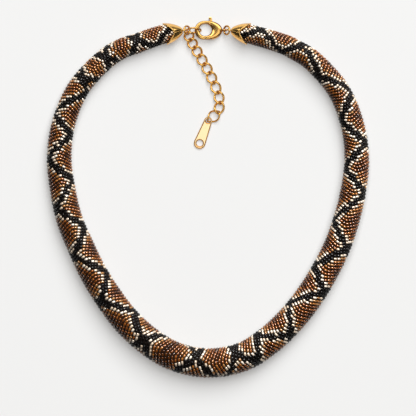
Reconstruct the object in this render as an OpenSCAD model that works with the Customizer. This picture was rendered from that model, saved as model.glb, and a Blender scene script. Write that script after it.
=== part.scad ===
// Snake necklace, closed and lying flat: a round bead rope with two metal end
// caps, a lobster clasp and an extender chain that ends in a drop tag.
// Z = 0 is the surface it lies on, and the front of the necklace is at -Y.
// The rope runs from the left cap round the front to the right cap.

/* [Rope] */
// Radius of the rope at the middle of the front
front_r = 6.5; // [5.5:0.1:7.5]
// Radius of the rope next to the caps
end_r = 4.25; // [4.2:0.01:4.5]
// Flat sides round the rope
rope_sides = 12; // [8:4:12]

/* [End caps] */
// Outer radius of a cap at the tips of its petals
cap_mouth_r = 4.75; // [4.7:0.01:4.8]
// Length of a cap from its petal tips to its closed end
cap_len = 7.7; // [7.5:0.1:7.9]
// Thickness of a cap's wall
cap_wall = 0.4; // [0.3:0.05:0.5]
// Depth of the notch between two petals
notch_depth = 4; // [3.5:0.1:4.5]
// Roundness of the notch's inner end
notch_round = 1.5; // [1:0.1:2.5]
// Turn of each cap up from the X axis, in degrees
cap_turn = 11.5; // [11:0.1:12]
// Height of the caps' middle above the surface
cap_z = 4.95; // [4.9:0.01:5]

/* [Rings and chain] */
// Radius of the jump rings' centre line
jump_r = 1.8; // [1.75:0.01:1.85]
// Radius of the wire of rings and links
wire_r = 0.4; // [0.36:0.01:0.41]
// Height from the clasp's middle up to the caps' axis
ring_drop = 2.7; // [2.6:0.05:2.7]
// Half of a curb link's width, on the wire's centre line
link_half_w = 1.95; // [1.9:0.01:2.1]
// Radius of the wire of the clasp's link and the tag's ring
thin_wire_r = 0.38; // [0.36:0.01:0.39]
// Gap between one link's wire and the next
link_gap = 0.2; // [0.18:0.01:0.22]
// Twist of a link at each end, in degrees
link_twist = 45; // [43:48]

/* [Clasp] */
// Outer radius of the clasp's hook
hook_r = 4.15; // [4.1:0.01:4.2]
// Radius of the opening inside the hook
opening_r = 2.7; // [2.65:0.01:2.72]
// Thickness of the clasp's body
clasp_thick = 2.3; // [2.2:0.05:2.4]
// Thickness of the hook's wire
hook_thick = 1.6; // [1.5:0.05:1.7]
// Radius of the lever's pin
pin_r = 0.45; // [0.4:0.05:0.5]
// Roll of the clasp about its long axis, in degrees
clasp_roll = 12; // [10:13]

/* [Drop tag] */
// Distance between the tag's two holes
tag_span = 10.3; // [10:0.1:10.6]
// Radius of the tag's top end
tag_top_r = 1.7; // [1.65:0.05:1.75]
// Radius of the tag's bottom end
tag_end_r = 2.5; // [2.4:0.05:2.7]
// Radius of the hole for the ring
tag_top_hole_r = 1; // [0.95:0.01:1.05]
// Radius of the hole at the bottom end
tag_end_hole_r = 1.4; // [1.3:0.05:1.5]
// Thickness of the tag
tag_thick = 1; // [0.9:0.05:1.1]

/* [Hidden] */
$fn = 48;

// Centre line of the rope seen from above, from the left cap's mouth to the right one's
ROUTE = [
    [-18.5, 71], [-30.5, 67], [-37.5, 64.5], [-45, 59.5], [-55.5, 48], [-62, 33], [-64, 18],
    [-62.5, 4], [-59.5, -9], [-54.5, -21], [-49.5, -31.5], [-43, -42], [-35, -52.5], [-25, -61.5],
    [-13.5, -68], [0.5, -70.5], [14.5, -68], [26, -61], [36, -51.5], [43.5, -42], [50, -31.5],
    [55.5, -20.5], [59.5, -9], [62.5, 3.5], [64, 17.5], [62, 32.5], [56, 47], [45.5, 59],
    [37, 64.5], [31.5, 67], [17.5, 71]
];

// Where the links of the extender chain meet, from link 1's far end to the tag's ring
CHAIN = [
    [-7.5, 68.6, 2.3], [-5.7, 65.3, 1.5], [-3.6, 61.8, 1.3], [-1.5, 58.1, 1.3],
    [0.7, 54.3, 1.3], [2.5, 50.2, 1.3], [4.3, 45.9, 1.3], [5.3, 41.5, 1.3], [4.4, 37.3, 1.5]
];

// Place of the tag's top hole and the way the tag points, in degrees
tag_at = [0.1, 33.7, 1.8];
tag_turn = -111;

// How far round the left jump ring, from its low point, the chain hangs, in degrees
chain_hang = 63;
// The tag's ring reaches past the chain's end and past the middle of the tag's hole
tag_ring_reach = 0.6;
tag_ring_past = 0.3;
tag_ring_half_w = 2.25;
tag_ring_near = 60;
tag_ring_far = -75;
clasp_link_slack = 0.4;
clasp_link_roll = 60;

gaps = len(ROUTE) - 1;
rope_gap = 0.15;
wall_len = 0.8;
shoulder = 3;
lift_len = 40;
rise = 1.1;
neck_depths = [5.2, 3.6, 1.8];
notch_steps = 16;

// The cap's outline is an arc about a centre behind its mouth and across its axis
cap_arc_r = 14.5;
cap_arc_back = 1.9;
cap_arc_off = sqrt(pow(cap_arc_r, 2) - pow(cap_arc_back, 2)) - cap_mouth_r;
cap_eye_r = 1.05;
cap_eye_x = cap_len + cap_eye_r - wire_r + 0.05;

ring_tilt = asin(ring_drop / (2 * jump_r));
clasp_z = cap_z - ring_drop;
clasp_eye_r = 1;
clasp_eye_wire = 0.35;
clasp_eye_x = 8.5;
tail_x = clasp_eye_x - clasp_eye_r + clasp_eye_wire - 0.05;
opening_at = [0.45, 0.15];
body_x = 1.5;
outline_steps = 8;
hook_steps = 12;
thick_rise = 2.5;
section_points = 12;
section_pow = 0.5;
channel = [1.75, 6.3, 1.1];
web_thick = 0.9;
pivot = [4.5, -1.5];
pin_play = 0.05;
boss_r = 1.35;
cheek_r = 2.6;
gate_near_r = 2.75;
split_r = 4.85;
split_gap = 0.12;
gate_top = -1.2;
zone_x = -3;
zone_low = 5;
cut_h = 4;
gate_arm = [1.8, -3.2];
gate_arm_w = 1.4;
tab_arm_w = 1.1;
pin_short = 0.5;
tab_at = [2.6, 5.15];
tab_r = 0.65;
tab_thick = 1.3;
link_sides = 6;
link_points = 16;

left_eye = cap_point([-18.5, 71], 1, cap_eye_x);
right_eye = cap_point([17.5, 71], -1, cap_eye_x);
left_low = ring_low(left_eye, 1);
right_low = ring_low(right_eye, -1);
clasp_at = right_low - [clasp_eye_x, 0, 0];

function unit(v) = v / norm(v);
function mix(a, b, t) = a + (b - a) * t;
function signed_pow(v, p) = sign(v) * pow(abs(v), p);

// Ways that the two caps point, from mouth to eye: side is 1 for the left cap, -1 for the right
function cap_way(side) = [side * cos(cap_turn), sin(cap_turn)];
function cap_point(mouth, side, along) = concat(mouth + along * cap_way(side), [cap_z]);
function cap_r(x, inset) =
    sqrt(pow(cap_arc_r - inset, 2) - pow(x + cap_arc_back, 2)) - cap_arc_off;
function neck_r(x) = cap_r(x, cap_wall) - rope_gap;
function ring_low(eye, side) = eye + 2 * jump_r * [side * cos(ring_tilt), 0, -sin(ring_tilt)];

// Route of the rope: a smooth spline that leaves each mouth along its cap's axis
function route_point(i) =
    i < 0 ? ROUTE[1] + 2 * norm(ROUTE[1] - ROUTE[0]) * cap_way(1)
    : i > gaps ? ROUTE[gaps - 1] + 2 * norm(ROUTE[gaps] - ROUTE[gaps - 1]) * cap_way(-1)
    : ROUTE[i];
function spline(q, t) = 0.5 * (2 * q[1] + (q[2] - q[0]) * t
    + (2 * q[0] - 5 * q[1] + 4 * q[2] - q[3]) * pow(t, 2)
    + (3 * q[1] - q[0] - 3 * q[2] + q[3]) * pow(t, 3));
function route_at(i, t) = spline([for (k = [-1:2]) route_point(i + k)], t);
function steps(i) = i == 0 || i == gaps - 1 ? 6 : 2;
function route_path() = [
    for (i = [0:gaps - 1]) for (k = [0:steps(i) - 1]) route_at(i, k / steps(i)),
    ROUTE[gaps]
];
function runs(p) = [
    for (i = 0, s = 0; i < len(p); s = s + norm(p[min(i + 1, len(p) - 1)] - p[i]), i = i + 1) s
];

// Radius of the rope at distance s from the left mouth, and its neck next to a mouth
function plain_r(s, whole) = mix(end_r, front_r, pow(sin(180 * s / whole), rise));
function rope_z(s, whole) = plain_r(s, whole)
    + (cap_z - end_r) * pow(max(0, 1 - min(s, whole - s) / lift_len), 2);
function neck_cut(s) = (end_r - neck_r(0)) * pow(max(0, 1 - s / shoulder), 2);
function rope_r(s, whole) = plain_r(s, whole) - neck_cut(s) - neck_cut(whole - s);

// One section: its centre, its radius and the way across the rope
function main_sections(p, s, whole) = [for (i = [0:len(p) - 1]) let (
        ahead = i == 0 ? -cap_way(1) : i == len(p) - 1 ? cap_way(-1) : unit(p[i + 1] - p[i - 1])
    ) [concat(p[i], [rope_z(s[i], whole)]), rope_r(s[i], whole), [ahead[1], -ahead[0], 0]]];
function neck_sections(mouth, side, depths) = [for (d = depths) [
    cap_point(mouth, side, d), neck_r(d), [-sin(cap_turn), side * cos(cap_turn), 0]
]];
function section_ring(g) = [for (k = [0:rope_sides - 1]) let (a = 360 * k / rope_sides - 90)
    g[0] + g[1] * (cos(a) * g[2] + [0, 0, sin(a)])];

// A skin through equal rings of points, joined end to end where closed is true
module skin(rings, closed) {
    n = len(rings);
    m = len(rings[0]);
    last = closed ? n - 1 : n - 2;
    sides = [for (i = [0:last]) for (k = [0:m - 1]) let (
            a = i * m + k,
            b = i * m + (k + 1) % m,
            c = (i + 1) % n * m + (k + 1) % m,
            d = (i + 1) % n * m + k
        ) each [[a, b, c], [a, c, d]]];
    ends = closed ? [] : [[for (k = [m - 1:-1:0]) k], [for (k = [0:m - 1]) (n - 1) * m + k]];
    polyhedron([for (r = rings) each r], concat(sides, ends));
}

// A closed loop of wire along a path that goes round the origin
module wire_loop(path, r) {
    n = len(path);
    skin([for (i = [0:n - 1]) let (
            ahead = unit(path[(i + 1) % n] - path[(i + n - 1) % n]),
            out = unit(path[i] - (path[i] * ahead) * ahead),
            up = cross(ahead, out)
        ) [for (k = [0:link_sides - 1])
            path[i] + r * (cos(360 * k / link_sides) * out - sin(360 * k / link_sides) * up)]],
        true);
}

// An oval of wire along X, twisted from one end to the other
module twisted_link(half_len, half_w, twist_near, twist_far, r) {
    wire_loop([for (a = [0:360 / link_points:359]) let (
            y = half_w * sin(a),
            twist = mix(twist_near, twist_far, (1 + cos(a)) / 2)
        ) [half_len * cos(a), y * cos(twist), y * sin(twist)]], r);
}

// Stands its children, drawn along X, between two points
module between(a, b) {
    d = b - a;
    translate((a + b) / 2)
        rotate([0, -asin(d[2] / norm(d)), atan2(d[1], d[0])])
        children();
}

module beaded_rope() {
    path = route_path();
    s = runs(path);
    color("saddlebrown")
        skin([for (g = concat(
            [for (g = neck_sections(ROUTE[0], 1, neck_depths)) g],
            main_sections(path, s, s[len(s) - 1]),
            [for (i = [len(neck_depths) - 1:-1:0]) neck_sections(ROUTE[gaps], -1, neck_depths)[i]]
        )) section_ring(g)], false);
}

// Outline of half a cap, as seen along its length: radius across, length up
module cap_profile(inset, length) {
    intersection() {
        translate([-cap_arc_off, -cap_arc_back])
            circle(r = cap_arc_r - inset, $fn = 96);
        square([cap_mouth_r + 1, length]);
    }
}

function notch_x(y) = notch_depth * (1 - (sqrt(y * y + pow(notch_round, 2)) - notch_round)
    / (sqrt(pow(cap_mouth_r, 2) + pow(notch_round, 2)) - notch_round));

module end_cap() {
    rim = cap_mouth_r;
    difference() {
        rotate([0, 90, 0])
            difference() {
                rotate_extrude()
                    cap_profile(0, cap_len);
                translate([0, 0, -0.01])
                    rotate_extrude()
                    cap_profile(cap_wall, cap_len - wall_len);
            }
        translate([0, 0, -cap_mouth_r - 1])
            linear_extrude(2 * cap_mouth_r + 2)
            polygon(concat([[-1, rim], [-1, -rim]],
                [for (k = [0:notch_steps]) let (y = mix(-rim, rim, k / notch_steps))
                    [notch_x(y), y]]));
    }
    translate([cap_eye_x, 0, 0])
        rotate([90, 0, 0])
        rotate_extrude()
        translate([cap_eye_r, 0])
        circle(r = wire_r);
}

module left_end_cap() {
    color("goldenrod")
        translate(cap_point(ROUTE[0], 1, 0))
        rotate([0, 0, cap_turn])
        end_cap();
}

module right_end_cap() {
    color("goldenrod")
        translate(cap_point(ROUTE[gaps], -1, 0))
        rotate([0, 0, 180 - cap_turn])
        end_cap();
}

module jump_ring(eye, side) {
    color("gold")
        translate((eye + ring_low(eye, side)) / 2)
        rotate([0, side * ring_tilt, 0])
        rotate_extrude()
        translate([jump_r, 0])
        circle(r = wire_r);
}

// Oval ring between the left jump ring and the hook
module clasp_link() {
    near = left_low[0] - thin_wire_r - clasp_link_slack;
    far = clasp_at[0] + opening_at[0] - opening_r + clasp_link_slack;
    color("gold")
        translate([(near + far) / 2, left_low[1], clasp_z])
        rotate([clasp_link_roll, 0, 0])
        twisted_link((far - near) / 2 + thin_wire_r, link_half_w, 0, 0, thin_wire_r);
}

// Half the clasp's width at x along its body, and half its thickness
function body_outline() = [for (k = [0:outline_steps]) let (q = 90 * k / outline_steps)
    [mix(body_x, tail_x, cos(q)), hook_r * sin(q)]];
function clasp_outline() = concat(
    body_outline(),
    [for (k = [0:hook_steps]) let (a = 90 + 180 * k / hook_steps) hook_r * [cos(a), sin(a)]],
    [for (k = [outline_steps:-1:1]) [body_outline()[k][0], -body_outline()[k][1]]]
);
function half_thick(x) = mix(hook_thick, clasp_thick, min(1, max(0, x / thick_rise))) / 2;

// The whole clasp as one rounded ring, with neither channel nor gate cut out
module clasp_ring() {
    skin([for (p = clasp_outline()) let (
            inner = opening_at + opening_r * unit(p - opening_at)
        ) [for (k = [0:section_points - 1]) let (
                a = 360 * k / section_points,
                across = mix(inner, p, 0.5 + 0.5 * signed_pow(cos(a), section_pow)),
                up = half_thick(p[0]) * signed_pow(sin(a), section_pow)
            ) [across[0], across[1], up]]], true);
}

// The stretch that the gate closes, between two radii about the pivot
module gate_zone(near_r, far_r) {
    linear_extrude(cut_h, center = true)
        difference() {
            intersection() {
                translate(pivot)
                    circle(r = far_r, $fn = 96);
                translate([zone_x, gate_top - zone_low])
                    square([pivot[0] - zone_x, zone_low]);
            }
            translate(pivot)
                circle(r = near_r);
        }
}

// Places the clasp's pieces, drawn flat about the middle of the hook's opening
module place_clasp() {
    translate(clasp_at)
        rotate([-clasp_roll, 0, 0])
        children();
}

module clasp_body() {
    color("gold")
        place_clasp() {
            difference() {
                clasp_ring();
                translate([channel[0], -hook_r - 1, -channel[2] / 2])
                    cube([channel[1] - channel[0], 2 * hook_r + 2, channel[2]]);
                gate_zone(cheek_r, split_r);
            }
            translate(concat(pivot, [0]))
                cylinder(r = pin_r, h = clasp_thick - pin_short, center = true);
            translate([clasp_eye_x, 0, 0])
                rotate([90, 0, 0])
                rotate_extrude()
                translate([clasp_eye_r, 0])
                circle(r = clasp_eye_wire);
        }
}

// A flat bar of a given width between two points
module bar(a, b, w) {
    d = b - a;
    translate(a)
        rotate(atan2(d[1], d[0]))
        translate([0, -w / 2])
        square([norm(d), w]);
}

module clasp_lever() {
    color("goldenrod")
        place_clasp() difference() {
            union() {
                intersection() {
                    clasp_ring();
                    gate_zone(gate_near_r, split_r - split_gap);
                }
                linear_extrude(web_thick, center = true) {
                    translate(pivot)
                        circle(r = boss_r);
                    bar(pivot, gate_arm, gate_arm_w);
                    bar(pivot, tab_at, tab_arm_w);
                }
                translate(concat(tab_at, [0]))
                    cylinder(r = tab_r, h = tab_thick, center = true);
            }
            translate(concat(pivot, [0]))
                cylinder(r = pin_r + pin_play, h = cut_h, center = true);
        }
}

// Link 1 hangs on the front of the left jump ring, and starts the chain
ring_front = (left_eye + left_low) / 2 + cos(chain_hang) * (left_low - left_eye) / 2
    - [0, jump_r * sin(chain_hang), 0];
link_reach = 2 * wire_r + link_gap;
chain_start = ring_front - link_reach / 2 * unit(CHAIN[0] - ring_front);
chain = concat([chain_start], CHAIN);

module curb_link(i) {
    a = chain[i - 1];
    b = chain[i];
    color("gold")
        between(a, b)
        twisted_link((norm(b - a) + link_reach) / 2, link_half_w, link_twist, -link_twist,
            wire_r);
}

// The last ring of the chain, whose far end stands upright in the tag's hole
module tag_ring() {
    a = chain[len(chain) - 1];
    start = a - tag_ring_reach * unit(tag_at - a);
    tip = tag_at + tag_ring_past * unit(tag_at - a);
    color("gold")
        between(start, tip)
        twisted_link(norm(tip - start) / 2, tag_ring_half_w, tag_ring_near, tag_ring_far,
            thin_wire_r);
}

// Outline of the tag: two round ends and the straight sides between them
module tag_outline() {
    lean = (tag_end_r - tag_top_r) / tag_span;
    side = [-lean, sqrt(1 - lean * lean)];
    mirrored = [side[0], -side[1]];
    end = [tag_span, 0];
    circle(r = tag_top_r);
    translate(end)
        circle(r = tag_end_r);
    polygon([tag_top_r * side, tag_top_r * mirrored, end + tag_end_r * mirrored,
        end + tag_end_r * side]);
}

module drop_tag() {
    pitch = asin((tag_at[2] - tag_thick / 2) / (tag_span + tag_end_r));
    color("gold")
        translate(tag_at)
        rotate([0, pitch, tag_turn])
        difference() {
            linear_extrude(tag_thick, center = true)
                tag_outline();
            cylinder(r = tag_top_hole_r, h = 2 * tag_thick, center = true);
            translate([tag_span, 0, 0])
                cylinder(r = tag_end_hole_r, h = 2 * tag_thick, center = true);
        }
}

beaded_rope();
left_end_cap();
right_end_cap();
jump_ring(left_eye, 1);  // left_jump_ring
jump_ring(right_eye, -1);  // right_jump_ring
clasp_link();
clasp_body();
clasp_lever();
curb_link(1);  // curb_link_1
curb_link(2);  // curb_link_2
curb_link(3);  // curb_link_3
curb_link(4);  // curb_link_4
curb_link(5);  // curb_link_5
curb_link(6);  // curb_link_6
curb_link(7);  // curb_link_7
curb_link(8);  // curb_link_8
curb_link(9);  // curb_link_9
tag_ring();
drop_tag();
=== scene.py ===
"""Snake necklace: a round bead rope, two petal end caps, a lobster clasp and a chain.

Lengths inside the classes are in millimetres and are turned into metres where a mesh
is made. The rope runs from the left cap's mouth round the front to the right one's.
"""

import logging
import math
from collections.abc import Sequence
from dataclasses import dataclass, field
from enum import Enum

import bpy
import numpy as np
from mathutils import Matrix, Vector


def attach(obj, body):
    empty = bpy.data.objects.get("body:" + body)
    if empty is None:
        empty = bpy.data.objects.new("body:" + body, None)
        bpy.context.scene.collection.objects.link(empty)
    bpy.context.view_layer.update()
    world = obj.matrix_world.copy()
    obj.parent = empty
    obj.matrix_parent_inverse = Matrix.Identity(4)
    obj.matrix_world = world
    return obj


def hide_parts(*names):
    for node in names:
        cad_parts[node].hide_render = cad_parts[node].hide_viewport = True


LOG = logging.getLogger("snake_necklace")
MM = 0.001
RING_STEPS = 64
RING_SIDES = 16

Vec = np.ndarray
Material = bpy.types.Material
Obj = bpy.types.Object

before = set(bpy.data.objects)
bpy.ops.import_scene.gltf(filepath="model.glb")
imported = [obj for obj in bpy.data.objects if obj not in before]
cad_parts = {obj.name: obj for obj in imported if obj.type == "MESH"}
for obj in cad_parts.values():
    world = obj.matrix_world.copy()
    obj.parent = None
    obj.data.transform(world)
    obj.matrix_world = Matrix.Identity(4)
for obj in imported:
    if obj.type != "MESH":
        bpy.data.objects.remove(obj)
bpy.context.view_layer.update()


class Body(Enum):
    """The rigid bodies that the pieces ride on."""

    NECKLACE = "necklace"
    LEVER = "lever"


class Slot(Enum):
    """Material slots of the record, one for each kind of piece."""

    BEADS = "glass_beads"
    CAPS = "gold_caps"
    RINGS = "gold_rings"
    CLASP = "gold_clasp"
    CHAIN = "gold_chain"
    TAG = "gold_tag"


class Side(Enum):
    """The two ends of the rope; the value is the sign of the cap's way along X."""

    LEFT = 1
    RIGHT = -1


# ---------------------------------------------------------------- small geometry


def unit(v: Vec) -> Vec:
    """Returns the vectors along the last axis at length one."""
    return v / np.linalg.norm(v, axis=-1, keepdims=True)


def mix(a: float | Vec, b: float | Vec, t: float | Vec) -> float | Vec:
    """Returns the value a part t of the way from a to b."""
    return a + (b - a) * t


def signed_pow(v: Vec, power: float) -> Vec:
    """Returns |v| to a power, with the sign of v."""
    return np.sign(v) * np.abs(v) ** power


def turned(axis: str, degrees: float) -> Vec:
    """Rotation matrix about one of the main axes.

    Args:
        axis: "x", "y" or "z".
        degrees: the angle, positive by the right hand.

    Returns:
        A 3 by 3 matrix that acts on column vectors.
    """
    c, s = math.cos(math.radians(degrees)), math.sin(math.radians(degrees))
    return np.array(
        {
            "x": [[1, 0, 0], [0, c, -s], [0, s, c]],
            "y": [[c, 0, s], [0, 1, 0], [-s, 0, c]],
            "z": [[c, -s, 0], [s, c, 0], [0, 0, 1]],
        }[axis],
        float,
    )


def between(a: Vec, b: Vec) -> tuple[Vec, Vec]:
    """Placement that lays a piece drawn along X between two points.

    Args:
        a: the near point.
        b: the far point.

    Returns:
        The rotation matrix and the middle point.
    """
    ahead = unit(b - a)
    across = unit(np.array([-ahead[1], ahead[0], 0.0]))
    return np.stack([ahead, across, np.cross(ahead, across)], 1), (a + b) / 2


def grid_faces(rows: int, columns: int, wrap_rows: bool, wrap_columns: bool) -> Vec:
    """Quads over a grid of vertices stored row by row.

    Args:
        rows: number of rows.
        columns: number of columns.
        wrap_rows: joins the last row to the first.
        wrap_columns: joins the last column to the first.

    Returns:
        An array of quads, as vertex numbers.
    """
    i = np.arange(rows if wrap_rows else rows - 1)[:, None]
    k = np.arange(columns if wrap_columns else columns - 1)[None, :]
    i2, k2 = (i + 1) % rows, (k + 1) % columns
    quads = [i * columns + k, i * columns + k2, i2 * columns + k2, i2 * columns + k]
    return np.stack(np.broadcast_arrays(*quads), -1).reshape(-1, 4)


@dataclass
class Shape:
    """A mesh under construction: vertices in millimetres and faces as vertex numbers."""

    points: Vec
    faces: list[Vec] = field(default_factory=list)

    def placed(self, turn: Vec, at: Vec) -> "Shape":
        """Returns the shape turned by a matrix and then moved."""
        return Shape(self.points @ turn.T + at, self.faces)

    def joined(self, *others: "Shape") -> "Shape":
        """Puts shapes together without cutting them.

        Args:
            others: the shapes that join this one.

        Returns:
            One shape that holds them all.
        """
        points, faces, start = [self.points], list(self.faces), len(self.points)
        for other in others:
            points.append(other.points)
            faces += [f + start for f in other.faces]
            start += len(other.points)
        return Shape(np.concatenate(points), faces)

    def object(
        self,
        name: str,
        materials: Sequence[Material],
        slots: Vec | None = None,
        sharp: float = 180.0,
    ) -> Obj:
        """Makes the shape a Blender object in the scene.

        Args:
            name: the object's name.
            materials: its material slots.
            slots: for each face, the number of its material slot.
            sharp: edges that bend by more than this angle, in degrees, stay hard.

        Returns:
            The new object, whose place is in its vertices.
        """
        mesh = bpy.data.meshes.new(name)
        sizes = np.concatenate([np.full(len(f), f.shape[1]) for f in self.faces])
        corners = np.concatenate([f.reshape(-1) for f in self.faces])
        mesh.vertices.add(len(self.points))
        mesh.vertices.foreach_set("co", (self.points * MM).astype(np.float32).reshape(-1))
        mesh.loops.add(len(corners))
        mesh.loops.foreach_set("vertex_index", corners.astype(np.int32))
        mesh.polygons.add(len(sizes))
        starts = np.concatenate([[0], np.cumsum(sizes)[:-1]])
        mesh.polygons.foreach_set("loop_start", starts.astype(np.int32))
        for material in materials:
            mesh.materials.append(material)
        if slots is not None:
            mesh.polygons.foreach_set("material_index", slots.astype(np.int32))
        mesh.polygons.foreach_set("use_smooth", np.ones(len(sizes), bool))
        mesh.update(calc_edges=True)
        if sharp < 180.0:
            mesh.set_sharp_from_angle(angle=math.radians(sharp))
        made = bpy.data.objects.new(name, mesh)
        bpy.context.scene.collection.objects.link(made)
        return made


def tube(path: Vec, out: Vec, radius: float | Vec, sides: int, closed: bool) -> Shape:
    """A round tube along a path.

    Args:
        path: points of the centre line.
        out: for each point, a direction across the path.
        radius: the tube's radius, one for all points or one for each.
        sides: flat sides round the tube.
        closed: joins the last point to the first; otherwise both ends get a cap.

    Returns:
        The tube as a shape.
    """
    n = len(path)
    if closed:
        ahead = unit(np.roll(path, -1, 0) - np.roll(path, 1, 0))
    else:
        ahead = unit(np.gradient(path, axis=0))
    out = unit(out - (out * ahead).sum(-1, keepdims=True) * ahead)
    up = np.cross(ahead, out)
    a = 2 * math.pi * np.arange(sides) / sides
    r = np.broadcast_to(np.asarray(radius, float), (n,))[:, None, None]
    ring = np.cos(a)[None, :, None] * out[:, None] + np.sin(a)[None, :, None] * up[:, None]
    points = (path[:, None] + r * ring).reshape(-1, 3)
    faces = [grid_faces(n, sides, closed, True)]
    if not closed:
        ends = [np.arange(sides)[::-1], (n - 1) * sides + np.arange(sides)]
        faces += [e[None, :] for e in ends]
    return Shape(points, faces)


def wire_ring(radius: float, wire: float, cut: float = 0.0, start: float = 0.0) -> Shape:
    """A round ring of wire in the XY plane about the origin.

    Args:
        radius: radius of the wire's centre line.
        wire: radius of the wire.
        cut: width of the cut where the ring was closed, or 0 for a soldered ring.
        start: where the cut is, in degrees from the X axis.

    Returns:
        The ring as a shape.
    """
    gap = cut / radius / 2
    closed = cut <= 0
    steps = RING_STEPS if closed else RING_STEPS + 1
    a = np.linspace(gap, 2 * math.pi - gap, steps, endpoint=not closed)
    a = a + math.radians(start)
    path = radius * np.stack([np.cos(a), np.sin(a), 0 * a], 1)
    return tube(path, path, wire, RING_SIDES, closed)


def upright_ring(radius: float, wire: float, x: float) -> Shape:
    """A soldered ring of wire that stands in the XZ plane about a point of the X axis."""
    return wire_ring(radius, wire).placed(turned("x", 90), np.array([x, 0, 0]))


# ---------------------------------------------------------------- finishes

Colour = tuple[float, float, float]
Socket = bpy.types.NodeSocket


@dataclass
class Group:
    """A shader node group with named number inputs and outputs, built once."""

    name: str
    inputs: dict[str, float]
    outputs: Sequence[str]
    tree: bpy.types.NodeTree = field(init=False)

    def __post_init__(self) -> None:
        """Makes the empty group and its sockets."""
        self.tree = bpy.data.node_groups.new(self.name, "ShaderNodeTree")
        kind = "NodeSocketFloat"
        for name, value in self.inputs.items():
            socket = self.tree.interface.new_socket(name=name, in_out="INPUT", socket_type=kind)
            socket.default_value = value
        for name in self.outputs:
            self.tree.interface.new_socket(name=name, in_out="OUTPUT", socket_type=kind)
        self.start = self.tree.nodes.new("NodeGroupInput")
        self.end = self.tree.nodes.new("NodeGroupOutput")
        self.place = self.tree.nodes.new("ShaderNodeTexCoord").outputs["Object"]

    def math(self, how: str, *values: float | Socket) -> Socket:
        """One step of arithmetic.

        Args:
            how: the math node's operation.
            values: what it works on, as numbers or sockets.

        Returns:
            The socket with the result.
        """
        made = self.tree.nodes.new("ShaderNodeMath")
        made.operation = how
        for i, value in enumerate(values):
            if isinstance(value, Socket):
                self.tree.links.new(value, made.inputs[i])
            else:
                made.inputs[i].default_value = value
        return made.outputs[0]

    def noise(self, scale: float | Socket, detail: float, stretch: Colour = (1, 1, 1)) -> Socket:
        """Noise over the object's own space.

        Args:
            scale: how fine it is, for each metre.
            detail: how many finer layers it has.
            stretch: scale along each axis, to draw it out.

        Returns:
            The socket with the noise, from 0 to 1.
        """
        mapping = self.tree.nodes.new("ShaderNodeMapping")
        mapping.inputs["Scale"].default_value = stretch
        self.tree.links.new(self.place, mapping.inputs["Vector"])
        made = self.tree.nodes.new("ShaderNodeTexNoise")
        self.tree.links.new(mapping.outputs[0], made.inputs["Vector"])
        if isinstance(scale, Socket):
            self.tree.links.new(scale, made.inputs["Scale"])
        else:
            made.inputs["Scale"].default_value = scale
        made.inputs["Detail"].default_value = detail
        return made.outputs["Fac"]

    def uneven(self, middle: float | Socket, noise: Socket, spread: Socket) -> Socket:
        """A number that noise moves up and down about its middle value.

        Args:
            middle: the number.
            noise: the socket with the noise.
            spread: the socket with how far the noise moves it.

        Returns:
            The socket with the uneven number.
        """
        centred = self.math("SUBTRACT", noise, 0.5)
        return self.math("ADD", middle, self.math("MULTIPLY", centred, spread))

    def out(self, **values: Socket) -> bpy.types.NodeTree:
        """Links the results to the group's outputs.

        Args:
            values: the socket with the result for each output, by the output's name.

        Returns:
            The finished group.
        """
        for name, value in values.items():
            self.tree.links.new(value, self.end.inputs[name])
        return self.tree


def metal_group() -> bpy.types.NodeTree:
    """Plated metal: soft clouds in its tone, uneven polish and fine tumbling marks.

    Returns:
        The finished group.
    """
    group = Group(
        "plated_metal",
        {"Polish": 0.2, "Uneven": 0.1, "Cloud": 0.15},
        ("Tone", "Roughness", "Height"),
    )
    given = group.start.outputs
    clouds = group.noise(scale=220.0, detail=3.0)
    marks = group.noise(scale=1900.0, detail=2.0, stretch=(1.0, 0.35, 1.0))
    return group.out(
        Tone=group.uneven(0.5, clouds, given["Cloud"]),
        Roughness=group.uneven(given["Polish"], marks, given["Uneven"]),
        Height=marks,
    )


def glass_group() -> bpy.types.NodeTree:
    """Pressed glass of seed beads: uneven polish and slight ripples.

    Returns:
        The finished group.
    """
    group = Group("seed_glass", {"Polish": 0.15, "Uneven": 0.1}, ("Roughness", "Height"))
    given = group.start.outputs
    fine = group.noise(scale=900.0, detail=2.0)
    ripple = group.noise(scale=1500.0, detail=1.0, stretch=(1.0, 1.0, 0.6))
    return group.out(
        Roughness=group.uneven(given["Polish"], fine, given["Uneven"]), Height=ripple
    )


def thread_group() -> bpy.types.NodeTree:
    """Twisted thread: ridges and a fuzz that breaks them up.

    Returns:
        The finished group.
    """
    group = Group("twisted_thread", {"Ridges": 1400.0}, ("Tone", "Roughness", "Height"))
    fuzz = group.noise(group.start.outputs["Ridges"], detail=3.0, stretch=(1.0, 1.0, 0.4))
    least, spread = 0.7, 0.2
    rough = group.math("ADD", group.math("MULTIPLY", fuzz, spread), least)
    return group.out(Tone=fuzz, Roughness=rough, Height=fuzz)


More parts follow.
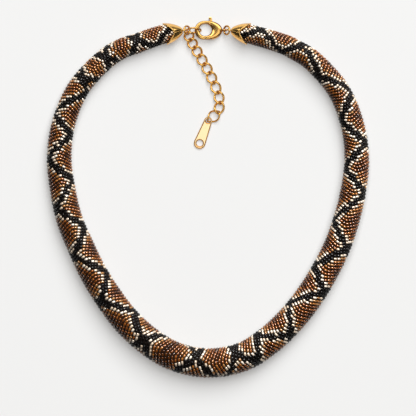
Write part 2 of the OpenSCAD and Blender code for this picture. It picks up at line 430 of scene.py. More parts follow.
@dataclass
class Surface:
    """A material under construction: its main shader and, where it has one, a group."""

    name: str
    group: bpy.types.NodeTree | None = None
    values: dict[str, float] = field(default_factory=dict)

    def __post_init__(self) -> None:
        """Makes the material and places the group in it with its own values."""
        self.made = bpy.data.materials.new(self.name)
        self.made.use_nodes = True
        self.nodes, self.links = self.made.node_tree.nodes, self.made.node_tree.links
        self.shader = self.nodes["Principled BSDF"]
        if self.group is not None:
            self.effect = self.nodes.new("ShaderNodeGroup")
            self.effect.node_tree = self.group
            for name, value in self.values.items():
                self.effect.inputs[name].default_value = value

    def fix(self, values: dict[str, float | tuple[float, ...]]) -> None:
        """Sets numbers and colours on the main shader's own sockets."""
        for name, value in values.items():
            self.shader.inputs[name].default_value = value

    def blend(self, share: Socket, a: Colour | Socket, b: Colour) -> Socket:
        """Mixes two colours.

        Args:
            share: the socket with the share of the second colour.
            a: the first colour, or a socket with it.
            b: the second colour.

        Returns:
            The socket with the mixed colour.
        """
        made = self.nodes.new("ShaderNodeMix")
        made.data_type = "RGBA"
        if isinstance(a, Socket):
            self.links.new(a, made.inputs["A"])
        else:
            made.inputs["A"].default_value = (*a, 1)
        made.inputs["B"].default_value = (*b, 1)
        self.links.new(share, made.inputs["Factor"])
        return made.outputs["Result"]

    def upright_shade_mask(self, start: float, full: float) -> Socket:
        """Mask for the painted shade: nought on level faces, one on faces that stand upright.

        Args:
            start: how far from level a face is where the mask starts, from 0 to 1.
            full: how far from level it is where the mask is one.

        Returns:
            The socket with the mask.
        """
        split = self.nodes.new("ShaderNodeSeparateXYZ")
        self.links.new(self.nodes.new("ShaderNodeNewGeometry").outputs["Normal"], split.inputs[0])
        level = self.nodes.new("ShaderNodeMath")
        level.operation = "ABSOLUTE"
        self.links.new(split.outputs["Z"], level.inputs[0])
        reach = self.nodes.new("ShaderNodeMapRange")
        reach.interpolation_type = "SMOOTHSTEP"
        reach.inputs["From Min"].default_value = 1 - start
        reach.inputs["From Max"].default_value = 1 - full
        self.links.new(level.outputs[0], reach.inputs["Value"])
        return reach.outputs["Result"]

    def finished(self, strength: float, depth: float) -> Material:
        """Links the group's roughness and its height to the main shader.

        Args:
            strength: how strong the bump is.
            depth: depth of the bump, in metres.

        Returns:
            The finished material.
        """
        self.links.new(self.effect.outputs["Roughness"], self.shader.inputs["Roughness"])
        bump = self.nodes.new("ShaderNodeBump")
        bump.inputs["Strength"].default_value = strength
        bump.inputs["Distance"].default_value = depth
        self.links.new(self.effect.outputs["Height"], bump.inputs["Height"])
        self.links.new(bump.outputs[0], self.shader.inputs["Normal"])
        return self.made


@dataclass(frozen=True)
class GoldFinish:
    """Plated metal: two tones, its polish, and painted shade darkening faces that stand upright."""

    name: str
    light: Colour
    deep: Colour
    polish: float = 0.2
    uneven: float = 0.08
    cloud: float = 0.5
    marks: float = 0.02
    marks_depth: float = 0.03 * MM
    coat: float = 0.3
    coat_roughness: float = 0.12
    # Painted shade: faces that stand upright darken to this rim colour, between the two slopes
    # below.
    rim: Colour = (0.42, 0.16, 0.02)
    edge_shade_from: float = 0.5
    edge_shade_full: float = 0.95

    def material(self, group: bpy.types.NodeTree) -> Material:
        """Builds the material.

        Args:
            group: the shared metal group.

        Returns:
            The finished material.
        """
        values = {"Polish": self.polish, "Uneven": self.uneven, "Cloud": self.cloud}
        surface = Surface(self.name, group, values)
        tone = surface.blend(surface.effect.outputs["Tone"], self.deep, self.light)
        # Painted shade: the tone turns to the darker rim colour on faces that stand upright.
        edge = surface.blend(surface.upright_shade_mask(self.edge_shade_from, self.edge_shade_full), tone, self.rim)
        surface.links.new(edge, surface.shader.inputs["Base Color"])
        surface.fix(
            {"Metallic": 1.0, "Coat Weight": self.coat, "Coat Roughness": self.coat_roughness}
        )
        return surface.finished(self.marks, self.marks_depth)


@dataclass(frozen=True)
class GlassFinish:
    """Opaque glass of one colour, with a metallic lining and a clear gloss."""

    name: str
    colour: Colour
    polish: float = 0.3
    uneven: float = 0.1
    coat: float = 0.65
    coat_roughness: float = 0.09
    coat_ior: float = 1.6
    metallic: float = 0.0
    gloss: float = 0.15
    ripple: float = 0.15
    ripple_depth: float = 0.05 * MM

    def material(self, group: bpy.types.NodeTree) -> Material:
        """Builds the material.

        Args:
            group: the shared glass group.

        Returns:
            The finished material.
        """
        surface = Surface(self.name, group, {"Polish": self.polish, "Uneven": self.uneven})
        surface.fix(
            {
                "Base Color": (*self.colour, 1),
                "Metallic": self.metallic,
                "Specular IOR Level": self.gloss,
                "Coat Weight": self.coat,
                "Coat Roughness": self.coat_roughness,
                "Coat IOR": self.coat_ior,
            }
        )
        return surface.finished(self.ripple, self.ripple_depth)


@dataclass(frozen=True)
class ThreadAndGapShadeFinish:
    """Thread for the beads; its near black also paints shade into the gaps between them."""

    name: str = "bead_thread_and_gap_shade"
    # Near-black tones: the thread's own colour, and painted shade in the gaps between the beads
    light: Colour = (0.006, 0.003, 0.002)
    deep: Colour = (0.002, 0.001, 0.001)
    gloss: float = 0.08
    ridge: float = 0.5
    ridge_depth: float = 0.2 * MM

    def material(self, group: bpy.types.NodeTree) -> Material:
        """Builds the material.

        Args:
            group: the shared thread group.

        Returns:
            The finished material.
        """
        surface = Surface(self.name, group)
        tone = surface.blend(surface.effect.outputs["Tone"], self.deep, self.light)
        surface.links.new(tone, surface.shader.inputs["Base Color"])
        surface.fix({"Specular IOR Level": self.gloss})
        return surface.finished(self.ridge, self.ridge_depth)


class BeadColour(Enum):
    """The colours that the rope is strung in; the value is the slot's number."""

    JET = 0
    CHARCOAL = 1
    CREAM = 2
    IVORY = 3
    TAN = 4
    HONEY = 5
    COPPER = 6
    RUST = 7
    BROWN = 8
    UMBER = 9


def lined_glass(name: str, *colour: float) -> GlassFinish:
    """Brown glass with the warm metallic lining that all the browns share."""
    return GlassFinish(name, colour, metallic=0.35)


BEAD_FINISHES: dict[BeadColour, GlassFinish] = {
    BeadColour.JET: GlassFinish("glass_jet", (0.002, 0.0015, 0.001), coat=0.04),
    BeadColour.CHARCOAL: GlassFinish("glass_charcoal", (0.004, 0.003, 0.002), coat=0.25),
    BeadColour.CREAM: GlassFinish("glass_cream", (0.45, 0.355, 0.26), 0.35, metallic=0.3),
    BeadColour.IVORY: GlassFinish("glass_ivory", (0.56, 0.48, 0.39), 0.35, metallic=0.3),
    BeadColour.TAN: lined_glass("glass_tan", 0.25, 0.120, 0.040),
    BeadColour.HONEY: lined_glass("glass_honey", 0.22, 0.080, 0.015),
    BeadColour.COPPER: lined_glass("glass_copper", 0.165, 0.049, 0.007),
    BeadColour.RUST: lined_glass("glass_rust", 0.115, 0.032, 0.004),
    BeadColour.BROWN: lined_glass("glass_brown", 0.072, 0.020, 0.0025),
    BeadColour.UMBER: lined_glass("glass_umber", 0.036, 0.010, 0.0015),
}

# The light and the deep tone of each plating
PALE_GOLD = ((0.93, 0.74, 0.43), (0.89, 0.67, 0.35))
RICH_GOLD = ((1.0, 0.62, 0.20), (0.93, 0.50, 0.12))
WARM_GOLD = ((1.0, 0.60, 0.17), (0.94, 0.50, 0.10))
CLASP_GOLD = ((0.84, 0.50, 0.15), (0.75, 0.40, 0.09))
# Painted shade: the darker gold of the tag's rounded rims
TAG_RIM_SHADE_GOLD = ((0.86, 0.43, 0.09), (0.77, 0.34, 0.06))
# Values that the rings' and the links' wire shares, with the painted shade that darkens the wire's
# sides
WIRE = {"polish": 0.3, "rim": (0.42, 0.15, 0.008), "edge_shade_from": 0.24, "edge_shade_full": 0.8}


@dataclass
class Finishes:
    """All materials of the necklace, built once."""

    beads: list[Material] = field(init=False)
    thread: Material = field(init=False)
    caps: Material = field(init=False)
    rings: Material = field(init=False)
    clasp: Material = field(init=False)
    chain: Material = field(init=False)
    tag: list[Material] = field(init=False)

    def __post_init__(self) -> None:
        """Builds the shared groups and every material."""
        metal, glass = metal_group(), glass_group()
        self.beads = [BEAD_FINISHES[c].material(glass) for c in BeadColour]
        self.thread = ThreadAndGapShadeFinish().material(thread_group())
        # Painted shade: the caps darken to their rim colour on faces that stand upright.
        caps = GoldFinish("gold_cap_plate", *RICH_GOLD, polish=0.24, rim=(0.46, 0.16, 0.01))
        self.caps = caps.material(metal)
        self.rings = GoldFinish("gold_ring_wire", *WARM_GOLD, **WIRE).material(metal)
        # Painted shade: the clasp darkens from its flat top towards its sides, so that it reads as
        # rounded.
        clasp_edge_shade = {"rim": (0.30, 0.105, 0.01), "edge_shade_from": 0.02, "edge_shade_full": 0.55}
        self.clasp = GoldFinish("gold_clasp_plate", *CLASP_GOLD, **clasp_edge_shade).material(metal)
        self.chain = GoldFinish("gold_chain_wire", *WARM_GOLD, **WIRE).material(metal)
        self.tag = [
            GoldFinish("gold_tag_plate", *PALE_GOLD, polish=0.3).material(metal),
            # Painted shade: the tag's rim faces take a second, darker gold.
            GoldFinish("gold_tag_rim_painted_shade", *TAG_RIM_SHADE_GOLD, polish=0.4, coat=0.0).material(metal),
        ]


# ---------------------------------------------------------------- the rope


ROUTE_POINTS: tuple[tuple[float, float], ...] = (
    (-18.5, 71), (-30.5, 67), (-37.5, 64.5), (-45, 59.5), (-55.5, 48), (-62, 33), (-64, 18),
    (-62.5, 4), (-59.5, -9), (-54.5, -21), (-49.5, -31.5), (-43, -42), (-35, -52.5),
    (-25, -61.5), (-13.5, -68), (0.5, -70.5), (14.5, -68), (26, -61), (36, -51.5),
    (43.5, -42), (50, -31.5), (55.5, -20.5), (59.5, -9), (62.5, 3.5), (64, 17.5), (62, 32.5),
    (56, 47), (45.5, 59), (37, 64.5), (31.5, 67), (17.5, 71),
)  # fmt: skip


@dataclass
class CapShape:
    """Form that both end caps share: an arc turned about the cap's axis."""

    mouth_r: float = 4.75
    length: float = 7.7
    wall: float = 0.4
    end_wall: float = 0.8
    arc_r: float = 14.5
    arc_back: float = 1.9
    notch_depth: float = 4.0
    notch_round: float = 1.5
    turn: float = 11.5
    height: float = 4.95
    eye_r: float = 1.05
    eye_wire: float = 0.4
    eye_x: float = 8.4
    rope_gap: float = 0.15

    def radius(self, x: float | Vec, inset: float = 0.0) -> float | Vec:
        """Radius at a distance x from the mouth, of the wall's face at an inset."""
        off = math.sqrt(self.arc_r**2 - self.arc_back**2) - self.mouth_r
        return np.sqrt((self.arc_r - inset) ** 2 - (x + self.arc_back) ** 2) - off

    def neck_radius(self, x: float | Vec) -> float | Vec:
        """Radius of the rope inside the cap."""
        return self.radius(x, self.wall) - self.rope_gap

    def notch(self, y: Vec) -> Vec:
        """How far from the mouth the petals' edge is at a distance y across the axis."""
        span = math.hypot(self.mouth_r, self.notch_round) - self.notch_round
        return self.notch_depth * (1 - (np.hypot(y, self.notch_round) - self.notch_round) / span)

    def way(self, side: Side) -> Vec:
        """Direction from a cap's mouth to its eye."""
        a = math.radians(self.turn)
        return np.array([side.value * math.cos(a), math.sin(a), 0.0])

    def mouth(self, side: Side) -> Vec:
        """Middle of a cap's mouth."""
        end = ROUTE_POINTS[0 if side is Side.LEFT else -1]
        return np.array([*end, self.height])

    def eye(self, side: Side) -> Vec:
        """Middle of a cap's eye."""
        return self.mouth(side) + self.eye_x * self.way(side)


@dataclass
class Route:
    """The rope's centre line with its radius, from mouth to mouth."""

    cap: CapShape
    front_r: float = 6.5
    end_r: float = 4.25
    rise: float = 1.1
    lift_length: float = 40.0
    shoulder: float = 3.0
    steps: int = 24
    frame_step: float = 0.6

    def __post_init__(self) -> None:
        """Samples the smooth line through the route's points."""
        p = np.array(ROUTE_POINTS, float)
        first = p[1] + 2 * np.linalg.norm(p[1] - p[0]) * self.cap.way(Side.LEFT)[:2]
        last = p[-2] + 2 * np.linalg.norm(p[-1] - p[-2]) * self.cap.way(Side.RIGHT)[:2]
        q = np.concatenate([[first], p, [last]])
        t = np.arange(self.steps)[:, None] / self.steps
        parts = []
        for a, b, c, d in zip(q, q[1:], q[2:], q[3:]):
            square, cube = 2 * a - 5 * b + 4 * c - d, 3 * b - a - 3 * c + d
            parts.append(0.5 * (2 * b + (c - a) * t + square * t**2 + cube * t**3))
        self.path = np.concatenate([*parts, [p[-1]]])
        runs = np.linalg.norm(np.diff(self.path, axis=0), axis=1)
        self.run = np.concatenate([[0], np.cumsum(runs)])
        self.length = float(self.run[-1])

    def plain_radius(self, near: Vec) -> Vec:
        """Radius between the caps, without its necks; it is full at the front."""
        bulge = np.sin(math.pi * near / self.length).clip(0) ** self.rise
        return mix(self.end_r, self.front_r, bulge)

    def radius(self, s: Vec) -> Vec:
        """Radius of the rope, with its necks inside the caps.

        Args:
            s: distances along the rope; below nought and past its length are in the caps.

        Returns:
            The radius at each distance.
        """
        inside = np.clip(np.maximum(-s, s - self.length), 0, None)
        near = np.clip(s, 0, self.length)
        cut = self.end_r - self.cap.neck_radius(0.0)
        ends = np.minimum(near, self.length - near)
        plain = self.plain_radius(near) - cut * (1 - ends / self.shoulder).clip(0) ** 2
        return np.where(inside > 0, self.cap.neck_radius(inside), plain)

    def height(self, s: Vec) -> Vec:
        """Height of the centre line, which climbs to the caps at the two ends.

        Args:
            s: distances along the rope.

        Returns:
            The height at each distance.
        """
        near = np.clip(s, 0, self.length)
        ends = np.minimum(near, self.length - near)
        lift = (self.cap.height - self.end_r) * (1 - ends / self.lift_length).clip(0) ** 2
        return self.plain_radius(near) + lift

    def centre(self, s: Vec) -> Vec:
        """Points of the centre line; past a mouth it goes straight on inside the cap.

        Args:
            s: distances along the rope.

        Returns:
            The point at each distance.
        """
        near = np.clip(s, 0, self.length)
        xy = np.stack([np.interp(near, self.run, self.path[:, i]) for i in (0, 1)], -1)
        points = np.concatenate([xy, self.height(s)[..., None]], -1)
        before = np.clip(-s, 0, None)[..., None]
        after = np.clip(s - self.length, 0, None)[..., None]
        return points + before * self.cap.way(Side.LEFT) + after * self.cap.way(Side.RIGHT)

    def frames(self, s: Vec) -> tuple[Vec, Vec, Vec, Vec]:
        """Centre line frames at distances s.

        Args:
            s: the distances.

        Returns:
            Centres, ways ahead, ways up and ways to the outside of the loop.
        """
        ahead = unit(self.centre(s + self.frame_step) - self.centre(s - self.frame_step))
        z = np.array([0.0, 0.0, 1.0])
        up = unit(z - ahead * ahead[..., 2:])
        return self.centre(s), ahead, up, np.cross(ahead, up)


@dataclass
class SkinPattern:
    """The diamond chart of a snake's skin, as two zigzag bands round the rope.

    The nodes are where the bands meet, in turn on the outer and the inner side: distance
    along the rope and angle round it, 0 on top and 90 at the loop's outer edge. The
    second band takes the other way round the rope from each node to the next. Bends are
    where a band turns between two nodes. Beside a band come zones of other colours, each
    with its width and the shares of its colours; the last zone fills the diamonds.
    """

    nodes: tuple[tuple[float, float], ...] = (
        (-3, 40), (5.4, -70), (12.8, 25), (20, -165), (27.2, -3), (34, -170), (40.5, 20),
        (45.4, -69), (58.6, 84), (65.8, -66), (77.3, 65), (87, -65), (97.7, 48), (109, -65),
        (119, 48), (131.5, -66), (141, 40), (153.5, -66), (165.3, -4), (179, -170), (189, -22),
        (200.2, -255), (207, -27), (214.3, -318), (220, -48), (231.2, -317), (241.2, -63),
        (253.6, -321), (261.6, -58), (274, -320), (284.4, -72), (298.2, -300), (308.2, -76),
        (318.8, -310), (330.2, -68), (340.5, -294), (353, -42), (367, -313), (374, -58),
        (386, -315), (396, -60),
    )  # fmt: skip
    bends: tuple[tuple[float, float], ...] = ((156.4, -27), (160.6, -7))
    other_bends: tuple[tuple[float, float], ...] = ((183.2, 45),)
    charted_length: float = 390.26
    band: float = 1.25
    patch: float = 2.6
    corner: float = 0.3
    zones: tuple[tuple[float, tuple[tuple[BeadColour, float], ...]], ...] = (
        (1.25, ((BeadColour.CREAM, 0.6), (BeadColour.IVORY, 0.3), (BeadColour.TAN, 0.1))),
        (1.1, ((BeadColour.HONEY, 0.4), (BeadColour.COPPER, 0.35), (BeadColour.TAN, 0.25))),
        (
            1.3,
            (
                (BeadColour.COPPER, 0.35),
                (BeadColour.RUST, 0.3),
                (BeadColour.BROWN, 0.2),
                (BeadColour.HONEY, 0.15),
            ),
        ),
        (
            99.0,
            (
                (BeadColour.BROWN, 0.45),
                (BeadColour.RUST, 0.25),
                (BeadColour.UMBER, 0.2),
                (BeadColour.COPPER, 0.1),
            ),
        ),
    )
    charcoal_share: float = 0.25
    stray_share: float = 0.04
    stray_from: float = 0.5

    def distances(self, s: Vec, angle: Vec, radius: Vec, length: float) -> tuple[Vec, Vec]:
        """Distances over the rope's surface from the two bands.

        Args:
            s: distances of the beads along the rope.
            angle: their angles round it, in degrees.
            radius: the rope's radius there.
            length: length of the rope.

        Returns:
            The distances to the first and to the second band.
        """
        nodes = np.array(self.nodes, float)
        other = nodes.copy()
        other[1::2, 1] += 360
        arc = (np.radians(1.0) * radius)[:, None]
        found = []
        for line, bends in ((nodes, self.bends), (other, self.other_bends)):
            line = np.concatenate([line, np.array(bends, float)])
            line = line[np.argsort(line[:, 0])] * [length / self.charted_length, 1]
            a, b = line[:-1], line[1:]
            best = np.full(len(s), np.inf)
            for turn in (-720, -360, 0, 360):
                px, py = s[:, None] - a[:, 0], arc * (angle[:, None] + turn - a[:, 1])
                dx, dy = (b - a)[:, 0][None, :], arc * (b - a)[:, 1]
                t = ((px * dx + py * dy) / (dx**2 + dy**2)).clip(0, 1)
                gap = np.hypot(px - t * dx, py - t * dy).min(1)
                best = np.minimum(best, gap)
            found.append(best)
        return found[0], found[1]

    def colours(
        self, s: Vec, angle: Vec, radius: Vec, length: float, draw: np.random.Generator
    ) -> Vec:
        """Picks the colour of each bead.

        Args:
            s: distances of the beads along the rope.
            angle: their angles round it, in degrees.
            radius: the rope's radius there.
            length: length of the rope.
            draw: the source of chance.

        Returns:
            The colours as slot numbers.
        """
        d1, d2 = self.distances(s, angle, radius, length)
        near = np.minimum(d1, d2)
        black = (near < self.band) | (d1 * d2 < self.patch)
        rest = np.minimum(near - self.band, self.corner * (d1 + d2 - 2 * self.band))
        chance = draw.random(len(s))
        picked = np.full(len(s), BeadColour.BROWN.value)
        start = 0.0
        for width, shares in self.zones:
            zone = (rest >= start) & (rest < start + width)
            low = 0.0
            for colour, share in shares:
                picked[zone & (chance >= low) & (chance <= low + share)] = colour.value
                low += share
            start += width
        grey = chance[black] < self.charcoal_share
        picked[black] = np.where(grey, BeadColour.CHARCOAL.value, BeadColour.JET.value)
        stray = black & (chance > 1 - self.stray_share) & (near > self.stray_from)
        picked[stray] = BeadColour.CREAM.value
        return picked


@dataclass
class BeadLay:
    """Where the beads of a rope lie: a value for each bead.

    The ring is the bead's ring number, s its distance along the rope, the angle is round
    the rope in radians, the radius is the rope's, and the slant is the slope of the ring.
    """

    ring: Vec
    s: Vec
    angle: Vec
    radius: Vec
    slant: Vec


@dataclass
class BeadRope:
    """Rings of seed beads strung round a thread core.

    The rings bow forward by the lean away from the ends. Near the caps the beads lie in a
    diamond weave, which turns into plain rings over the diamond span. Sizes and places
    have a little chance in them, as a hand-made rope has.
    """

    route: Route
    pattern: SkinPattern
    around: int = 24
    end_pitch: float = 1.44
    front_pitch: float = 1.46
    lean: float = 0.55
    lean_round: float = 0.25
    lean_start: float = 15.0
    diamond_span: tuple[float, float] = (22.0, 44.0)
    bead_depth: float = 1.35
    depth_in_cap: float = 1.15
    bead_fill: float = 0.98
    fill_depth: float = 0.45
    top_width: float = 0.8
    side_width: float = 0.97
    size_chance: float = 0.05
    width_chance: float = 0.6
    depth_chance: float = 0.03
    shift_chance: float = 0.04
    tilt_chance: float = 0.05
    inside: float = 4.4
    stretches: int = 8
    bead_sides: int = 8
    bead_profile: tuple[tuple[float, float], ...] = (
        (-0.5, 0.34), (-0.4, 0.45), (0, 0.5), (0.4, 0.45), (0.5, 0.34), (0, 0.14),
    )  # fmt: skip
    # The core reaches close under the beads, so that its dark shows between them as painted shade.
    core_inset: float = 0.38
    core_inset_in_cap: float = 0.8
    core_steps: int = 280
    core_sides: int = 24
    pitch_samples: int = 2001
    seed: int = 11

    def pitch(self, s: Vec) -> Vec:
        """Distance between rings at distances s along the rope."""
        return mix(self.end_pitch, self.front_pitch, np.sin(math.pi * s / self.route.length))

    def ring_places(self) -> Vec:
        """Spaces the rings by their pitch.

        Returns:
            Distances of the rings along the rope, inside the caps too.
        """
        whole = self.route.length
        s = np.linspace(0, whole, self.pitch_samples)
        turns = np.concatenate([[0], np.cumsum(np.diff(s) / self.pitch(s)[1:])])
        count = int(round(turns[-1]))
        places = np.interp(np.linspace(0, turns[-1], count + 1), turns, s)
        extra = np.arange(1, int(self.inside / self.end_pitch) + 1) * self.end_pitch
        return np.concatenate([-extra[::-1], places, whole + extra])

    def lay(self) -> BeadLay:
        """Lays all the beads round the rope.

        Returns:
            Their places.
        """
        places = self.ring_places()
        pitch = np.gradient(places)
        row, column = np.arange(len(places))[:, None], np.arange(self.around)[None, :]
        ends = np.minimum(places, self.route.length - places)
        near, far = self.diamond_span
        diamond = ((far - ends) / (far - near)).clip(0, 1)[:, None]
        turn = column + 0.5 * (1 - diamond) * (row % 2)
        angle = 2 * math.pi * turn / self.around
        leans = (self.lean * (ends / self.lean_start).clip(0, 1))[:, None]
        bow = np.sqrt(np.sin(angle) ** 2 + self.lean_round**2)
        shift = 0.5 * diamond * pitch[:, None] * (column % 2)
        s = places[:, None] + shift + leans * self.route.radius(places)[:, None] * (bow - 0.5)
        slant = leans * np.sin(angle) * np.cos(angle) / bow
        ring = np.broadcast_to(row, s.shape).reshape(-1)
        s = s.reshape(-1)
        return BeadLay(ring, s, angle.reshape(-1), self.route.radius(s), slant.reshape(-1))

    def template(self) -> Shape:
        """One bead along X with a hole.

        Returns:
            The bead, with its diameter and length one.
        """
        a = 2 * math.pi * (np.arange(self.bead_sides) + 0.5) / self.bead_sides
        x, r = np.array(self.bead_profile).T
        points = np.stack(
            [np.outer(np.ones(len(a)), x), np.outer(np.cos(a), r), np.outer(np.sin(a), r)], -1
        )
        return Shape(points.reshape(-1, 3), [grid_faces(len(a), len(x), True, True)[:, ::-1]])

    def stretch(self, lay: BeadLay, round_rope: Vec) -> Vec:
        """How much longer the rope is on the line of each bead than on its centre line.

        Args:
            lay: the beads' places.
            round_rope: cosines and sines of their angles.

        Returns:
            The ratio for each bead.
        """
        step = 0.5
        reach = (lay.radius - self.bead_depth / 2)[:, None]
        ends = []
        for s in (lay.s - step, lay.s + step):
            centre, _, up, out = self.route.frames(s)
            ends.append(centre + (round_rope[0] * up + round_rope[1] * out) * reach)
        return np.linalg.norm(ends[1] - ends[0], axis=1) / (2 * step)

    def beads(self, lay: BeadLay, draw: np.random.Generator) -> Vec:
        """Sets a bead at each place, with a little chance in its size and place.

        Args:
            lay: the beads' places.
            draw: the source of chance.

        Returns:
            The vertices of each bead.
        """
        n, whole = len(lay.s), self.route.length
        centre, ahead, up, out = self.route.frames(lay.s)
        c, si = np.cos(lay.angle)[:, None], np.sin(lay.angle)[:, None]
        normal, round_way = c * up + si * out, -si * up + c * out
        axis = unit(round_way + lay.slant[:, None] * ahead)
        side = np.cross(normal, axis)
        size = 1 + self.size_chance * draw.standard_normal((n, 3)).clip(-2, 2)
        skew = np.hypot(1, lay.slant)
        long = 2 * math.pi * (lay.radius - self.fill_depth * self.bead_depth) / self.around
        long = long * skew * self.bead_fill * size[:, 0]
        close = mix(self.top_width, self.side_width, np.sin(lay.angle) ** 4)
        close = close * (1 + self.width_chance * (size[:, 1] - 1))
        pitch = self.pitch(lay.s.clip(0, whole))
        wide = pitch * self.stretch(lay, np.stack([c, si])) / skew * close
        in_cap = (lay.s < 0) | (lay.s > whole)
        deep = np.where(in_cap, self.depth_in_cap, self.bead_depth)
        sunk = self.depth_chance * draw.standard_normal(n).clip(-1, 1)
        at = centre + normal * (lay.radius - deep / 2 + sunk)[:, None]
        at += side * (self.shift_chance * draw.standard_normal(n).clip(-2, 2))[:, None]
        tilt = self.tilt_chance * draw.standard_normal(n).clip(-2, 2)[:, None]
        axis, side = unit(axis + tilt * side), unit(side - tilt * axis)
        t = self.template().points
        return (
            at[:, None]
            + t[None, :, 0:1] * (long[:, None] * axis)[:, None]
            + t[None, :, 1:2] * (wide[:, None] * side)[:, None]
            + t[None, :, 2:3] * (deep[:, None] * normal)[:, None]
        )

    def build(self, finishes: Finishes) -> list[Obj]:
        """Makes the stretches of beads and the core.

        Args:
            finishes: the necklace's materials.

        Returns:
            The pieces.
        """
        draw = np.random.default_rng(self.seed)
        lay = self.lay()
        points = self.beads(lay, draw)
        degrees = np.degrees(lay.angle)
        colours = self.pattern.colours(lay.s, degrees, lay.radius, self.route.length, draw)
        quads = self.template().faces[0]
        made = []
        edges = np.linspace(lay.ring.min(), lay.ring.max() + 1, self.stretches + 1)
        for k in range(self.stretches):
            picked = np.flatnonzero((lay.ring >= edges[k]) & (lay.ring < edges[k + 1]))
            starts = (np.arange(len(picked)) * points.shape[1])[:, None, None]
            faces = (quads[None] + starts).reshape(-1, 4)
            slots = np.repeat(colours[picked], len(quads))
            shape = Shape(points[picked].reshape(-1, 3), [faces])
            piece = shape.object(f"bead_rings_{k + 1}", finishes.beads, slots)
            made.append(dress(piece, Body.NECKLACE, Slot.BEADS, "beaded_rope"))
        LOG.info("bead rope: %d beads in %d rings", len(lay.s), int(lay.ring.max()) + 1)
        return [*made, self.core(finishes)]

    def core(self, finishes: Finishes) -> Obj:
        """Makes the thread core, whose near black also paints shade into the gaps between beads.

        Args:
            finishes: the necklace's materials.

        Returns:
            The core.
        """
        whole = self.route.length
        s = np.linspace(-self.inside, whole + self.inside, self.core_steps)
        centre, _, up, _ = self.route.frames(s)
        inset = np.where((s < 0) | (s > whole), self.core_inset_in_cap, self.core_inset)
        shape = tube(centre, up, self.route.radius(s) - inset, self.core_sides, False)
        piece = shape.object("thread_core_and_gap_shade", [finishes.thread], sharp=50)
        return dress(piece, Body.NECKLACE, Slot.BEADS, "beaded_rope")


def dress(piece: Obj, body: Body, slot: Slot, *nodes: str) -> Obj:
    """Gives a piece its body and hides the CAD nodes that it stands for.

    Args:
        piece: the piece, in place.
        body: the body that it rides on.
        slot: the record's slot of its finish; not used.
        nodes: the CAD nodes that it replaces.

    Returns:
        The same piece.
    """
    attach(piece, body.value)
    if nodes:
        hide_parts(*nodes)
    return piece


# ---------------------------------------------------------------- caps, rings, chain


